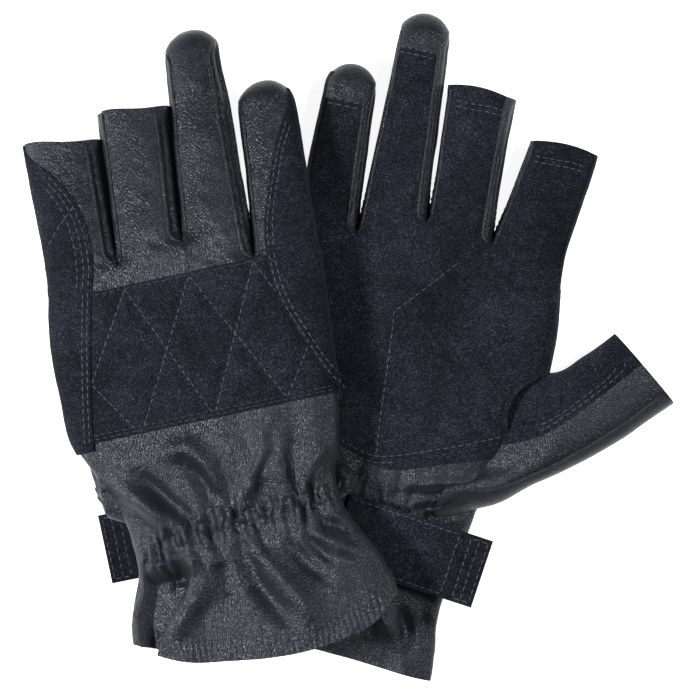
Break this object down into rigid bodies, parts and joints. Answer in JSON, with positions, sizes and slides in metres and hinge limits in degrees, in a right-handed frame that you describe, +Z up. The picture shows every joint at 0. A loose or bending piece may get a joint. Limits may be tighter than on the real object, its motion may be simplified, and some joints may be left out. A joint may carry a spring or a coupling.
{
  "type": "sailing gloves",
  "caption": "Pair of leather and suede sailing gloves with open thumb, index and middle fingers, quilted back patch, gathered gauntlet cuff and hook-and-loop wrist strap.",
  "frame": {"origin": "centre of the pair's footprint on the table", "axes": "+Z up from the table, +Y towards the fingertips, +X towards the lower glove's thumb"},
  "size_m": [0.2606, 0.2672, 0.0447],
  "materials": {
    "grain_leather": "soft pebbled grain, satin",
    "suede": "napped suede, matt, blue-black",
    "foam": "open foam",
    "elastic": "woven elastic",
    "hook_and_loop": "hook-and-loop nap"
  },
  "bodies": {
    "lower_hand": {"lower_back_panel": "grain_leather", "lower_side_wraps": "suede", "lower_gauntlet_back": "grain_leather", "lower_palm_panel": "suede", "lower_gauntlet_palm": "grain_leather", "lower_cuff_hem": "grain_leather", "lower_foam_pad": "foam", "lower_quilted_patch": "suede", "lower_palm_patch": "suede", "lower_wrist_elastic": "elastic", "lower_strap_loop_pad": "hook_and_loop"},
    "lower_index": {"lower_index_back": "grain_leather", "lower_index_sides": "grain_leather", "lower_index_palm": "suede"},
    "lower_middle": {"lower_middle_back": "grain_leather", "lower_middle_sides": "grain_leather", "lower_middle_palm": "suede"},
    "lower_ring": {"lower_ring_back": "grain_leather", "lower_ring_sides": "grain_leather", "lower_ring_tip_cap": "grain_leather", "lower_ring_palm": "suede"},
    "lower_little": {"lower_little_back": "grain_leather", "lower_little_sides": "grain_leather", "lower_little_tip_cap": "grain_leather", "lower_little_palm": "suede"},
    "lower_thumb": {"lower_thumb_back": "grain_leather", "lower_thumb_palm": "suede", "lower_thumb_gusset": "grain_leather"},
    "lower_strap": {"lower_wrist_strap": "suede", "lower_strap_hook_pad": "hook_and_loop"},
    "upper_hand": {"upper_back_panel": "grain_leather", "upper_side_wraps": "suede", "upper_gauntlet_back": "grain_leather", "upper_palm_panel": "suede", "upper_gauntlet_palm": "grain_leather", "upper_cuff_hem": "grain_leather", "upper_foam_pad": "foam", "upper_quilted_patch": "suede", "upper_palm_patch": "suede", "upper_wrist_elastic": "elastic", "upper_strap_loop_pad": "hook_and_loop"},
    "upper_index": {"upper_index_back": "grain_leather", "upper_index_sides": "grain_leather", "upper_index_palm": "suede"},
    "upper_middle": {"upper_middle_back": "grain_leather", "upper_middle_sides": "grain_leather", "upper_middle_palm": "suede"},
    "upper_ring": {"upper_ring_back": "grain_leather", "upper_ring_sides": "grain_leather", "upper_ring_tip_cap": "grain_leather", "upper_ring_palm": "suede"},
    "upper_little": {"upper_little_back": "grain_leather", "upper_little_sides": "grain_leather", "upper_little_tip_cap": "grain_leather", "upper_little_palm": "suede"},
    "upper_thumb": {"upper_thumb_back": "grain_leather", "upper_thumb_palm": "suede", "upper_thumb_gusset": "grain_leather"},
    "upper_strap": {"upper_wrist_strap": "suede", "upper_strap_hook_pad": "hook_and_loop"}
  },
  "joints": [
    {"name": "lower_index_flex", "type": "hinge", "parent": "lower_hand", "child": "lower_index", "pos_m": [0.07279, 0.04205, 0.02107], "axis": [0.9744, -0.225, 0], "range_deg": [0, 60]},
    {"name": "lower_middle_flex", "type": "hinge", "parent": "lower_hand", "child": "lower_middle", "pos_m": [0.04534, 0.04962, 0.02107], "axis": [0.9744, -0.225, 0], "range_deg": [0, 60]},
    {"name": "lower_ring_flex", "type": "hinge", "parent": "lower_hand", "child": "lower_ring", "pos_m": [0.01912, 0.05567, 0.02107], "axis": [0.9744, -0.225, 0], "range_deg": [0, 60]},
    {"name": "lower_little_flex", "type": "hinge", "parent": "lower_hand", "child": "lower_little", "pos_m": [-0.00934, 0.05198, 0.02107], "axis": [0.9744, -0.225, 0], "range_deg": [0, 40]},
    {"name": "lower_thumb_fold", "type": "hinge", "parent": "lower_hand", "child": "lower_thumb", "pos_m": [0.06759, -0.05938, 0.02337], "axis": [-0.225, -0.9744, 0], "range_deg": [0, 140]},
    {"name": "lower_strap_peel", "type": "hinge", "parent": "lower_hand", "child": "lower_strap", "pos_m": [0.0185, -0.08038, 0.02049], "axis": [-0.3173, -0.9483, 0], "range_deg": [0, 45]},
    {"name": "upper_glove_lift", "type": "slide", "parent": "lower_hand", "child": "upper_hand", "axis": [0, 0, 1], "range_m": [0, 0.09]},
    {"name": "upper_index_flex", "type": "hinge", "parent": "upper_hand", "child": "upper_index", "pos_m": [-0.10609, 0.0343, 0.01805], "axis": [-0.976, -0.2075, -0.0663], "range_deg": [0, 60]},
    {"name": "upper_middle_flex", "type": "hinge", "parent": "upper_hand", "child": "upper_middle", "pos_m": [-0.07857, 0.04138, 0.01994], "axis": [-0.976, -0.2075, -0.0663], "range_deg": [0, 60]},
    {"name": "upper_ring_flex", "type": "hinge", "parent": "upper_hand", "child": "upper_ring", "pos_m": [-0.05232, 0.04696, 0.02172], "axis": [-0.976, -0.2075, -0.0663], "range_deg": [0, 60]},
    {"name": "upper_little_flex", "type": "hinge", "parent": "upper_hand", "child": "upper_little", "pos_m": [-0.02399, 0.04276, 0.0235], "axis": [-0.976, -0.2075, -0.0663], "range_deg": [0, 14]},
    {"name": "upper_thumb_fold", "type": "hinge", "parent": "upper_hand", "child": "upper_thumb", "pos_m": [-0.10247, -0.06716, 0.01458], "axis": [0.2079, -0.9781, 0], "range_deg": [-170, 0]},
    {"name": "upper_strap_peel", "type": "hinge", "parent": "upper_hand", "child": "upper_strap", "pos_m": [-0.05691, -0.07383, 0.01474], "axis": [0.2079, -0.9781, 0], "range_deg": [0, 85]}
  ]
}
